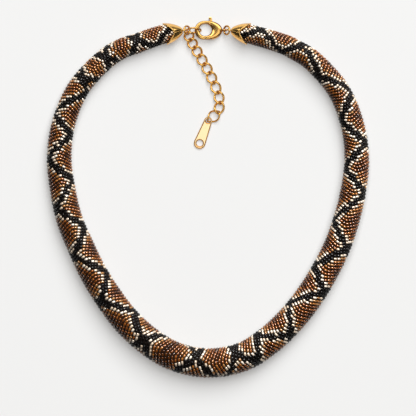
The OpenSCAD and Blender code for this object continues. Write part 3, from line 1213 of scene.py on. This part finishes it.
@dataclass
class EndCap:
    """A cap of two petals with a rolled lip, a crease between them and an eye.

    The bevel softens the closed end, whose middle is a hole of the pole's radius, too
    small to see. The outer wall starts past the bevel, by its size times bevel_past. The
    lip is rolled out of the petals' edge, in steps of its own. Its middle and the ends of
    the wall outside and inside it are so many lip radii from the edge. Each wall's first
    step is a part of its run.
    """

    shape: CapShape
    side: Side
    lip_r: float = 0.27
    lip_proud: float = 0.1
    lip_turn: float = 125.0
    lip_middle: float = 0.35
    lip_outside: float = 1.5
    lip_inside: float = 1.2
    lip_steps: int = 11
    crease_depth: float = 0.26
    crease_width: float = 0.27
    bevel: float = 0.25
    bevel_past: float = 1.15
    bevel_steps: int = 5
    pole_r: float = 0.03
    quarter_steps: int = 32
    crowding: float = 1.4
    length_steps: int = 26
    length_first: float = 0.04
    inner_steps: int = 12
    inner_first: float = 0.06
    edge_rounds: int = 40

    def angles(self) -> Vec:
        """Spaces the wall's points round the axis, close together at the two creases.

        Returns:
            Angles from the top, once round.
        """
        part = (np.arange(self.quarter_steps) / self.quarter_steps) ** self.crowding
        quarter = (math.pi / 2) * part
        half = np.concatenate([quarter, math.pi - quarter[:0:-1], [math.pi]])
        half = np.insert(half, self.quarter_steps, math.pi / 2)
        return np.concatenate([half[:-1], math.pi + half[:-1]])

    def edge(self, angle: Vec) -> Vec:
        """Finds where the petals end, which depends on the radius there.

        Args:
            angle: angles round the axis.

        Returns:
            Distance from the mouth to the petals' edge at each angle.
        """
        x = np.zeros_like(angle)
        for _ in range(self.edge_rounds):
            x = self.shape.notch(self.shape.radius(x) * np.sin(angle))
        return x

    def rows(self, angle: Vec) -> list[tuple[Vec, Vec]]:
        """Rings of the cap's wall, from the outside of its closed end round to the inside.

        Args:
            angle: angles round the axis.

        Returns:
            For each ring, distances from the mouth and radii.
        """
        cap, edge, ones = self.shape, self.edge(angle), np.ones_like(angle)
        slope = np.gradient(edge) / (np.gradient(angle) * cap.radius(edge))
        skew = np.hypot(1, slope)
        end_r = float(cap.radius(cap.length))
        rows = [(cap.length * ones, self.pole_r * ones)]
        for a in np.linspace(0, math.pi / 2, self.bevel_steps):
            x = cap.length - self.bevel * (1 - math.cos(a))
            rows.append((x * ones, (end_r - self.bevel + self.bevel * math.sin(a)) * ones))
        first = cap.length - self.bevel_past * self.bevel
        last = edge + self.lip_outside * self.lip_r * skew
        for t in np.linspace(self.length_first, 1, self.length_steps):
            x = mix(first, last, t)
            off = cap.radius(x) * np.abs(np.sin(angle))
            crease = self.crease_depth * np.exp(-((off / self.crease_width) ** 2))
            rows.append((x, cap.radius(x) - crease))
        middle = edge + self.lip_middle * self.lip_r * skew
        lip_at = cap.radius(middle) - self.lip_r + self.lip_proud
        for a in np.radians(np.linspace(self.lip_turn, -self.lip_turn, self.lip_steps)):
            x = middle - self.lip_r * skew * math.cos(a)
            rows.append((x, lip_at + self.lip_r * math.sin(a)))
        deep = cap.length - cap.end_wall
        for t in np.linspace(self.inner_first, 1, self.inner_steps):
            x = mix(edge + self.lip_inside * self.lip_r * skew, deep, t)
            rows.append((x, cap.radius(x, cap.wall)))
        return [*rows, (deep * ones, self.pole_r * ones)]

    def shell(self) -> Shape:
        """Lofts the cap's wall round the axis.

        Returns:
            The wall, with its mouth at the origin and its closed end along X.
        """
        angle = self.angles()
        rows = self.rows(angle)
        x, r = np.stack([row[0] for row in rows]), np.stack([row[1] for row in rows])
        points = np.stack([x, r * np.sin(angle), r * np.cos(angle)], -1)
        n, m = x.shape
        ends = [np.arange(m)[None, ::-1], (n - 1) * m + np.arange(m)[None, :]]
        return Shape(points.reshape(-1, 3), [grid_faces(n, m, False, True), *ends])

    def build(self, finishes: Finishes) -> Obj:
        """Makes the cap in place.

        Args:
            finishes: the necklace's materials.

        Returns:
            The cap.
        """
        cap, side = self.shape, self.side.name.lower()
        eye = upright_ring(cap.eye_r, cap.eye_wire, cap.eye_x)
        turn = cap.turn if self.side is Side.LEFT else 180 - cap.turn
        whole = self.shell().joined(eye).placed(turned("z", turn), cap.mouth(self.side))
        piece = whole.object(f"{side}_petal_cap", [finishes.caps], sharp=60)
        LOG.info("%s: %d points", piece.name, len(whole.points))
        return dress(piece, Body.NECKLACE, Slot.CAPS, f"{side}_end_cap")


@dataclass
class JumpRing:
    """The ring that hangs from a cap's eye, with the cut where it was closed."""

    cap: CapShape
    side: Side
    radius: float = 1.8
    wire: float = 0.4
    drop: float = 2.7
    cut: float = 0.07
    cut_at: float = 70.0

    def tilt(self) -> float:
        """Angle of the ring below level, in radians."""
        return math.asin(self.drop / (2 * self.radius))

    def low(self) -> Vec:
        """The ring's lowest point, on the wire's centre line."""
        way = np.array([self.side.value * math.cos(self.tilt()), 0, -math.sin(self.tilt())])
        return self.cap.eye(self.side) + 2 * self.radius * way

    def build(self, finishes: Finishes) -> Obj:
        """Makes the ring in place.

        Args:
            finishes: the necklace's materials.

        Returns:
            The ring.
        """
        side = self.side.name.lower()
        turn = turned("y", self.side.value * math.degrees(self.tilt()))
        ring = wire_ring(self.radius, self.wire, self.cut, self.cut_at)
        ring = ring.placed(turn, (self.cap.eye(self.side) + self.low()) / 2)
        piece = ring.object(f"{side}_open_ring", [finishes.rings], sharp=60)
        LOG.info("%s in place", piece.name)
        return dress(piece, Body.NECKLACE, Slot.RINGS, f"{side}_jump_ring")


@dataclass
class TwistedLink:
    """An oval of wire, twisted from one end to the other."""

    half_length: float
    half_width: float
    near_twist: float
    far_twist: float
    wire: float
    points: int = 48
    sides: int = 14

    def shape(self) -> Shape:
        """Bends the wire.

        Returns:
            The link along X about the origin.
        """
        a = 2 * math.pi * np.arange(self.points) / self.points
        twist = np.radians(mix(self.near_twist, self.far_twist, (1 + np.cos(a)) / 2))
        y = self.half_width * np.sin(a)
        path = np.stack([self.half_length * np.cos(a), y * np.cos(twist), y * np.sin(twist)], 1)
        return tube(path, path, self.wire, self.sides, True)


CHAIN_POINTS: tuple[tuple[float, float, float], ...] = (
    (-7.5, 68.6, 2.3), (-5.7, 65.3, 1.5), (-3.6, 61.8, 1.3), (-1.5, 58.1, 1.3),
    (0.7, 54.3, 1.3), (2.5, 50.2, 1.3), (4.3, 45.9, 1.3), (5.3, 41.5, 1.3), (4.4, 37.3, 1.5),
)  # fmt: skip


@dataclass
class ExtenderChain:
    """Nine twisted links from the left jump ring down to the tag's ring."""

    ring: JumpRing
    tag_at: Vec
    wire: float = 0.4
    swell: float = 0.07
    gap: float = 0.2
    half_width: float = 1.95
    twist: float = 45.0
    hang: float = 63.0
    tag_wire: float = 0.38
    tag_half_width: float = 2.25
    tag_reach: float = 0.6
    tag_past: float = 0.3
    tag_near: float = 60.0
    tag_far: float = -75.0

    def meeting_points(self) -> list[Vec]:
        """Finds where the links meet.

        Returns:
            The points from the jump ring down.
        """
        eye, low = self.ring.cap.eye(Side.LEFT), self.ring.low()
        a = math.radians(self.hang)
        front = (eye + low) / 2 + math.cos(a) * (low - eye) / 2
        front = front - np.array([0, self.ring.radius * math.sin(a), 0])
        points = [np.array(p) for p in CHAIN_POINTS]
        start = front - (2 * self.wire + self.gap) / 2 * unit(points[0] - front)
        return [start, *points]

    def build(self, finishes: Finishes) -> list[Obj]:
        """Makes the links and the tag's ring in place.

        Args:
            finishes: the necklace's materials.

        Returns:
            The links and the ring.
        """
        stops = self.meeting_points()
        reach, wire = 2 * self.wire + self.gap, self.wire + self.swell
        made = []
        for i, (a, b) in enumerate(zip(stops, stops[1:]), 1):
            half = (float(np.linalg.norm(b - a)) + reach) / 2
            link = TwistedLink(half, self.half_width, self.twist, -self.twist, wire)
            piece = link.shape().placed(*between(a, b)).object(f"chain_link_{i}", [finishes.chain])
            made.append(dress(piece, Body.NECKLACE, Slot.CHAIN, f"curb_link_{i}"))
        way = unit(self.tag_at - stops[-1])
        start, tip = stops[-1] - self.tag_reach * way, self.tag_at + self.tag_past * way
        half = float(np.linalg.norm(tip - start)) / 2
        ring = TwistedLink(half, self.tag_half_width, self.tag_near, self.tag_far, self.tag_wire)
        piece = ring.shape().placed(*between(start, tip)).object("tag_link", [finishes.chain])
        made.append(dress(piece, Body.NECKLACE, Slot.CHAIN, "tag_ring"))
        LOG.info("extender chain: %d links and the tag's ring", len(stops) - 1)
        return made


# ---------------------------------------------------------------- clasp and tag


def prism(outline: Vec, bottom: float, top: float) -> Shape:
    """A straight solid on a flat outline.

    Args:
        outline: points that go round counter-clockwise.
        bottom: height of its lower face.
        top: height of its upper face.

    Returns:
        The solid.
    """
    n = len(outline)
    low = np.concatenate([outline, np.full((n, 1), bottom)], 1)
    high = np.concatenate([outline, np.full((n, 1), top)], 1)
    ends = [np.arange(n)[None, ::-1], n + np.arange(n)[None, :]]
    return Shape(np.concatenate([low, high]), [grid_faces(2, n, False, True), *ends])


def circle(at: Sequence[float], r: float, start: float, stop: float, steps: int) -> Vec:
    """Points of an arc about a middle, between two angles in degrees."""
    a = np.radians(np.linspace(start, stop, steps))
    return np.array(at) + r * np.stack([np.cos(a), np.sin(a)], 1)


def whole_circle(at: Sequence[float], r: float, steps: int) -> Vec:
    """Points once round a circle."""
    return circle(at, r, 0, 360 - 360 / steps, steps)


def disc(at: Sequence[float], r: float, half: float, steps: int = 40) -> Shape:
    """A flat round plate about z = 0."""
    return prism(whole_circle(at, r, steps), -half, half)


def bar(a: Sequence[float], b: Sequence[float], width: float, half: float) -> Shape:
    """A flat bar about z = 0.

    Args:
        a: the middle of one end.
        b: the middle of the other end.
        width: its width.
        half: half its thickness.

    Returns:
        The bar.
    """
    a, b = np.array(a, float), np.array(b, float)
    across = unit(np.array([a[1] - b[1], b[0] - a[0]])) * width / 2
    return prism(np.array([a - across, b - across, b + across, a + across]), -half, half)


# Edges that bend by more degrees than this are rounded, in so many segments
ROUND_FROM = 38.0
ROUND_SEGMENTS = 3


class Cut(Enum):
    """The ways in which one solid changes another."""

    TAKE = "DIFFERENCE"
    KEEP = "INTERSECT"
    ADD = "UNION"


def applied(work: Obj, unit_size: float) -> Shape:
    """Reads an object's mesh with its modifiers applied, and removes the object.

    Args:
        work: the object.
        unit_size: length of the shape's unit in the object's.

    Returns:
        The mesh as a shape.
    """
    bpy.context.view_layer.update()
    graph = bpy.context.evaluated_depsgraph_get()
    mesh = bpy.data.meshes.new_from_object(work.evaluated_get(graph))
    points = np.array([v.co for v in mesh.vertices], float) / unit_size
    by_size: dict[int, list[list[int]]] = {}
    for polygon in mesh.polygons:
        by_size.setdefault(len(polygon.vertices), []).append(list(polygon.vertices))
    bpy.data.objects.remove(work)
    bpy.data.meshes.remove(mesh)
    return Shape(points, [np.array(f) for f in by_size.values()])


def carved(shape: Shape, steps: Sequence[tuple[Cut, Shape]], round_off: float) -> Shape:
    """Changes a solid by others and rounds its hard edges.

    Args:
        shape: the solid.
        steps: what is done to it, in turn.
        round_off: width of the rounding on hard edges, in millimetres.

    Returns:
        The resulting solid.
    """
    work = shape.object("carving", [])
    tools = []
    for how, tool in steps:
        tools.append(tool.object("carving_tool", []))
        change = work.modifiers.new("carve", "BOOLEAN")
        change.operation, change.object, change.solver = how.value, tools[-1], "EXACT"
    bevel = work.modifiers.new("round", "BEVEL")
    bevel.width, bevel.segments = round_off * MM, ROUND_SEGMENTS
    bevel.limit_method, bevel.angle_limit = "ANGLE", math.radians(ROUND_FROM)
    bevel.harden_normals = False
    done = applied(work, MM)
    for tool in tools:
        bpy.data.objects.remove(tool)
    return done


@dataclass
class LobsterClasp:
    """The clasp: a rounded hook and body, and the sprung lever that shuts the hook.

    It is drawn about the middle of the hook, with the body along X, and then rolled. The
    section is the power that squares its round wire. The gate is the part of the ring
    that the lever carries, cut out between two radii about the pivot.
    """

    at: Vec
    hook_r: float = 4.15
    opening_r: float = 2.7
    opening_at: tuple[float, float] = (0.45, 0.15)
    body_x: float = 1.5
    tail_x: float = 7.8
    hook_thick: float = 1.6
    body_thick: float = 2.3
    thick_rise: float = 2.5
    section: float = 0.75
    section_steps: int = 24
    body_steps: int = 25
    hook_steps: int = 37
    gate_steps: tuple[int, int] = (40, 60)
    roll: float = 12.0
    channel: tuple[float, float, float] = (1.75, 6.3, 1.1)
    pivot: tuple[float, float] = (4.5, -1.5)
    pin_r: float = 0.45
    pin_play: float = 0.05
    pin_short: float = 0.1
    pin_steps: int = 28
    gate_top: float = 0.3
    cheek_r: float = 2.6
    gate_r: float = 2.75
    split_r: float = 4.85
    split_gap: float = 0.12
    cut_half: float = 2.0
    edge_round: float = 0.1
    web_half: float = 0.45
    web_round: float = 0.08
    boss_r: float = 1.35
    gate_arm: tuple[float, float] = (1.8, -3.2)
    gate_arm_w: float = 1.4
    tab_arm_w: float = 1.1
    tab_at: tuple[float, float] = (2.6, 5.15)
    tab_r: float = 0.65
    tab_half: float = 0.65
    tab_steps: int = 32
    eye_x: float = 8.5
    eye_r: float = 1.0
    eye_wire: float = 0.35
    link_wire: float = 0.38
    link_slack: float = 0.4
    link_half_width: float = 1.95
    link_roll: float = 60.0

    @classmethod
    def on_ring(cls, ring: JumpRing) -> "LobsterClasp":
        """A clasp whose eye hangs on a jump ring."""
        return cls(ring.low() - np.array([cls.eye_x, 0, 0]))

    def outline(self) -> Vec:
        """Draws the outer edge of the hook and body.

        Returns:
            Its points, counter-clockwise from the tail.
        """
        q = np.radians(np.linspace(0, 90, self.body_steps))
        x = mix(self.body_x, self.tail_x, np.cos(q))
        body = np.stack([x, self.hook_r * np.sin(q)], 1)
        hook = circle((0, 0), self.hook_r, 90, 270, self.hook_steps)
        return np.concatenate([body, hook, body[:0:-1] * [1, -1]])

    def ring(self) -> Shape:
        """Models the whole clasp as one rounded ring.

        Returns:
            The ring, before it is cut.
        """
        edge = self.outline()
        middle = np.array(self.opening_at)
        inner = middle + self.opening_r * unit(edge - middle)
        a = 2 * math.pi * np.arange(self.section_steps) / self.section_steps
        across = 0.5 + 0.5 * signed_pow(np.cos(a), self.section)[None, :, None]
        flat = mix(inner[:, None], edge[:, None], across)
        rise = (edge[:, 0] / self.thick_rise).clip(0, 1)
        half = mix(self.hook_thick, self.body_thick, rise) / 2
        up = half[:, None] * signed_pow(np.sin(a), self.section)[None, :]
        points = np.concatenate([flat, up[..., None]], -1).reshape(-1, 3)
        return Shape(points, [grid_faces(len(edge), len(a), True, True)[:, ::-1]])

    def gate_zone(self, near_r: float, far_r: float) -> Shape:
        """The stretch that the lever closes.

        Args:
            near_r: radius about the pivot where it begins.
            far_r: radius about the pivot where it ends.

        Returns:
            A solid that holds the stretch.
        """
        starts = [180 - math.degrees(math.asin(self.gate_top / r)) for r in (near_r, far_r)]
        near = circle(self.pivot, near_r, 270, starts[0], self.gate_steps[0])
        far = circle(self.pivot, far_r, starts[1], 270, self.gate_steps[1])
        return prism(np.concatenate([far, near]), -self.cut_half, self.cut_half)

    def place(self, shape: Shape) -> Shape:
        """Puts a shape drawn about the hook's middle in its place."""
        return shape.placed(turned("x", -self.roll), self.at)

    def body(self) -> Shape:
        """Models the hook and body with the lever's slot, the pin and the eye.

        Returns:
            The body.
        """
        low, high, wide = self.channel
        reach = self.hook_r + 1
        corners = np.array([(low, -reach), (high, -reach), (high, reach), (low, reach)])
        slot = prism(corners, -wide / 2, wide / 2)
        gate = self.gate_zone(self.cheek_r, self.split_r)
        cut = carved(self.ring(), [(Cut.TAKE, slot), (Cut.TAKE, gate)], self.edge_round)
        pin_half = self.body_thick / 2 - self.pin_short
        pin = disc(self.pivot, self.pin_r, pin_half, self.pin_steps)
        return cut.joined(pin, upright_ring(self.eye_r, self.eye_wire, self.eye_x))

    def lever(self) -> Shape:
        """Models the lever: gate, web, arm and thumb knob.

        Returns:
            The lever.
        """
        zone = self.gate_zone(self.gate_r, self.split_r - self.split_gap)
        gate = carved(self.ring(), [(Cut.KEEP, zone)], self.edge_round)
        hole = disc(self.pivot, self.pin_r + self.pin_play, self.cut_half, self.pin_steps)
        web = carved(
            disc(self.pivot, self.boss_r, self.web_half),
            [
                (Cut.ADD, bar(self.pivot, self.gate_arm, self.gate_arm_w, self.web_half)),
                (Cut.ADD, bar(self.pivot, self.tab_at, self.tab_arm_w, self.web_half)),
                (Cut.ADD, disc(self.tab_at, self.tab_r, self.tab_half, self.tab_steps)),
                (Cut.TAKE, hole),
            ],
            self.web_round,
        )
        return gate.joined(web)

    def build(self, finishes: Finishes) -> list[Obj]:
        """Makes the body and the lever in place.

        Args:
            finishes: the necklace's materials.

        Returns:
            The body and the lever.
        """
        body = self.place(self.body()).object("clasp_hook", [finishes.clasp], sharp=40)
        lever = self.place(self.lever()).object("clasp_gate", [finishes.clasp], sharp=40)
        LOG.info("lobster clasp: body and lever")
        return [
            dress(body, Body.NECKLACE, Slot.CLASP, "clasp_body"),
            dress(lever, Body.LEVER, Slot.CLASP, "clasp_lever"),
        ]

    def link(self, ring: JumpRing, finishes: Finishes) -> Obj:
        """Makes the oval link that the hook holds.

        Args:
            ring: the jump ring that the link hangs on.
            finishes: the necklace's materials.

        Returns:
            The link.
        """
        wire, low = self.link_wire, ring.low()
        near = low[0] - wire - self.link_slack
        far = self.at[0] + self.opening_at[0] - self.opening_r + self.link_slack
        oval = TwistedLink((far - near) / 2 + wire, self.link_half_width, 0, 0, wire)
        middle = np.array([(near + far) / 2, low[1], self.at[2]])
        shape = oval.shape().placed(turned("x", self.link_roll), middle)
        piece = shape.object("hook_link", [finishes.rings])
        LOG.info("clasp link in place")
        return dress(piece, Body.NECKLACE, Slot.RINGS, "clasp_link")


@dataclass
class DropTag:
    """The flat drop at the chain's end: a plate with rounded rims and two holes.

    Faces that lean from level by more than the flat limit, as a cosine, count as rim and
    take a darker gold, painted shade. Steps are for its far end and for its near end.
    """

    at: Vec = field(default_factory=lambda: np.array([0.1, 33.7, 1.8]))
    turn: float = -111.0
    span: float = 10.3
    top_r: float = 1.7
    end_r: float = 2.5
    top_hole_r: float = 1.0
    end_hole_r: float = 1.4
    thick: float = 1.0
    rim: float = 0.44
    rim_steps: int = 3
    edge_steps: tuple[int, int] = (44, 32)
    hole_steps: tuple[int, int] = (48, 36)
    flat_limit: float = 0.995

    def outline(self) -> Vec:
        """Draws the edge of the tag.

        Returns:
            Its points, counter-clockwise.
        """
        lean = math.degrees(math.asin((self.end_r - self.top_r) / self.span))
        far_steps, near_steps = self.edge_steps
        far = circle((self.span, 0), self.end_r, -90 - lean, 90 + lean, far_steps)
        near = circle((0, 0), self.top_r, 90 + lean, 270 - lean, near_steps)
        return np.concatenate([far, near])

    def plate(self) -> Shape:
        """Fills the outlines with a plate and rounds all its rims.

        Returns:
            The plate, level about z = 0.
        """
        far_steps, near_steps = self.hole_steps
        loops = [
            self.outline(),
            whole_circle((0, 0), self.top_hole_r, near_steps),
            whole_circle((self.span, 0), self.end_hole_r, far_steps),
        ]
        curve = bpy.data.curves.new("tag_outline", "CURVE")
        curve.dimensions, curve.fill_mode = "2D", "BOTH"
        for loop in loops:
            spline = curve.splines.new("POLY")
            spline.points.add(len(loop) - 1)
            flat = np.zeros((len(loop), 4), np.float32)
            flat[:, :2], flat[:, 3] = loop, 1
            spline.points.foreach_set("co", flat.reshape(-1))
            spline.use_cyclic_u = True
        curve.bevel_depth, curve.bevel_resolution = self.rim, self.rim_steps
        curve.offset, curve.extrude = -self.rim, self.thick / 2 - self.rim
        drawn = bpy.data.objects.new("tag_outline", curve)
        bpy.context.scene.collection.objects.link(drawn)
        return applied(drawn, 1.0)

    def shaded_rim_faces(self, corners: Vec) -> Vec:
        """Mask for the painted shade: faces on the rounded rims (one), on the flats (nought)."""
        normal = unit(np.cross(corners, np.roll(corners, -1, axis=1)).sum(axis=1))
        return (np.abs(normal[:, 2]) < self.flat_limit).astype(int)

    def build(self, finishes: Finishes) -> Obj:
        """Makes the tag in place, with its far end on the floor.

        Args:
            finishes: the necklace's materials.

        Returns:
            The tag.
        """
        pitch = math.degrees(math.asin((self.at[2] - self.thick / 2) / (self.span + self.end_r)))
        plate = self.plate()
        slots = np.concatenate([self.shaded_rim_faces(plate.points[f]) for f in plate.faces])
        placed = plate.placed(turned("z", self.turn) @ turned("y", pitch), self.at)
        piece = placed.object("gold_drop", finishes.tag, slots, sharp=30)
        LOG.info("drop tag: %d points", len(plate.points))
        return dress(piece, Body.NECKLACE, Slot.TAG, "drop_tag")


# ---------------------------------------------------------------- studio


@dataclass
class Softbox:
    """A large soft light: its place, its size across and along, and its power.

    It is hung in metres, points at the necklace and lights only the pieces it is given.
    """

    name: str
    place: tuple[float, float, float]
    size: tuple[float, float]
    power: float
    only: Sequence[Obj]

    def build(self) -> None:
        """Hangs the light and links it to its pieces."""
        light = bpy.data.lights.new(self.name, "AREA")
        light.shape, light.energy = "RECTANGLE", self.power
        light.size, light.size_y = self.size
        made = bpy.data.objects.new(self.name, light)
        made.location = self.place
        made.rotation_euler = (-Vector(self.place)).to_track_quat("-Z", "Y").to_euler()
        made.visible_camera = False
        bpy.context.scene.collection.objects.link(made)
        lit = bpy.data.collections.new(f"{self.name}_pieces")
        for piece in self.only:
            lit.objects.link(piece)
        made.light_linking.receiver_collection = lit


@dataclass
class Studio:
    """Pale floor, soft lights and the camera straight above, in metres.

    The sky's two levels are its strength away from and towards the sky way. The floor
    gives off a little light, so that it stays pale in the necklace's shade.
    """

    metal: Sequence[Obj]
    beads: Sequence[Obj]
    floor_size: float = 6.0
    floor_colour: Colour = (0.36, 0.362, 0.362)
    floor_glow: Colour = (1.0, 0.98, 0.95)
    floor_glow_strength: float = 0.3
    floor_roughness: float = 0.9
    floor_gloss: float = 0.1
    sky: tuple[float, float] = (0.02, 0.05)
    sky_way: tuple[float, float, float] = (0.2, 0.6, 0.75)
    sky_from: float = -0.3
    sky_full: float = 0.9
    camera_height: float = 2.5
    centre: tuple[float, float] = (0.0, -0.00387)
    picture_width: float = 0.1789
    focus_height: float = 0.0065
    sensor: float = 36.0
    clip: tuple[float, float] = (0.05, 20.0)

    def floor(self) -> Obj:
        """Lays a plain pale floor at height zero.

        Returns:
            The floor.
        """
        half = self.floor_size / 2 / MM
        corners = np.array([(-half, -half, 0), (half, -half, 0), (half, half, 0), (-half, half, 0)])
        surface = Surface("studio_floor")
        surface.fix(
            {
                "Base Color": (*self.floor_colour, 1),
                "Emission Color": (*self.floor_glow, 1),
                "Emission Strength": self.floor_glow_strength,
                "Roughness": self.floor_roughness,
                "Specular IOR Level": self.floor_gloss,
            }
        )
        made = Shape(corners, [np.array([[0, 1, 2, 3]])]).object("studio_floor", [surface.made])
        return made

    def lights(self, floor: Obj) -> None:
        """Hangs soft boxes for the floor, the beads and the metal.

        Args:
            floor: the floor.
        """
        for box in (
            Softbox("floor_light", (0.5, 1.5, 3.1), (2.0, 3.8), 272.0, [floor]),
            Softbox("bead_light", (1.15, 2.84, 2.57), (1.5, 2.0), 560.0, self.beads),
            Softbox("metal_top_light", (0.1, -0.1, 1.9), (2.4, 1.3), 13.5, self.metal),
            Softbox("metal_key_light", (0.0, 1.9, 1.9), (5.0, 1.0), 54.0, self.metal),
            Softbox("metal_low_light", (0.0, -1.9, 1.4), (5.0, 0.5), 10.0, self.metal),
        ):
            box.build()

    def dim_sky(self) -> None:
        """Makes a dim sky that is a little lighter at the back."""
        world = bpy.data.worlds.new("studio_world")
        world.use_nodes = True
        nodes, links = world.node_tree.nodes, world.node_tree.links
        place = nodes.new("ShaderNodeTexCoord").outputs["Generated"]
        toward = nodes.new("ShaderNodeVectorMath")
        toward.operation = "DOT_PRODUCT"
        toward.inputs[1].default_value = unit(np.array(self.sky_way))
        links.new(place, toward.inputs[0])
        ramp = nodes.new("ShaderNodeMapRange")
        ramp.interpolation_type = "SMOOTHSTEP"
        spans = (self.sky_from, self.sky_full, *self.sky)
        for name, value in zip(("From Min", "From Max", "To Min", "To Max"), spans):
            ramp.inputs[name].default_value = value
        links.new(toward.outputs["Value"], ramp.inputs["Value"])
        links.new(ramp.outputs["Result"], nodes["Background"].inputs["Strength"])
        nodes["Background"].inputs["Color"].default_value = (1, 1, 1, 1)
        bpy.context.scene.world = world

    def camera(self) -> None:
        """Sets a long lens straight above the middle of the picture."""
        data = bpy.data.cameras.new("picture_camera")
        data.sensor_width = self.sensor
        reach = self.camera_height - self.focus_height
        data.lens = self.sensor * reach / self.picture_width
        data.clip_start, data.clip_end = self.clip
        made = bpy.data.objects.new("picture_camera", data)
        made.location = (*self.centre, self.camera_height)
        bpy.context.scene.collection.objects.link(made)
        bpy.context.scene.camera = made

    def build(self) -> None:
        """Sets up the whole studio."""
        self.lights(self.floor())
        self.dim_sky()
        self.camera()
        bpy.context.scene.view_settings.view_transform = "Standard"
        LOG.info("studio: floor, lights, sky and camera")


def main() -> None:
    """Builds the necklace piece by piece and then the studio."""
    logging.basicConfig(level=logging.INFO, format="%(message)s")
    finishes = Finishes()
    cap = CapShape()
    route = Route(cap)
    LOG.info("rope length between the caps: %.1f mm", route.length)
    beads = BeadRope(route, SkinPattern()).build(finishes)
    rings = {side: JumpRing(cap, side) for side in Side}
    metal = []
    for side in Side:
        metal += [EndCap(cap, side).build(finishes), rings[side].build(finishes)]
    clasp = LobsterClasp.on_ring(rings[Side.RIGHT])
    metal += [*clasp.build(finishes), clasp.link(rings[Side.LEFT], finishes)]
    tag = DropTag()
    metal += [*ExtenderChain(rings[Side.LEFT], tag.at).build(finishes), tag.build(finishes)]
    Studio(metal, beads).build()


if __name__ == "__main__":
    main()
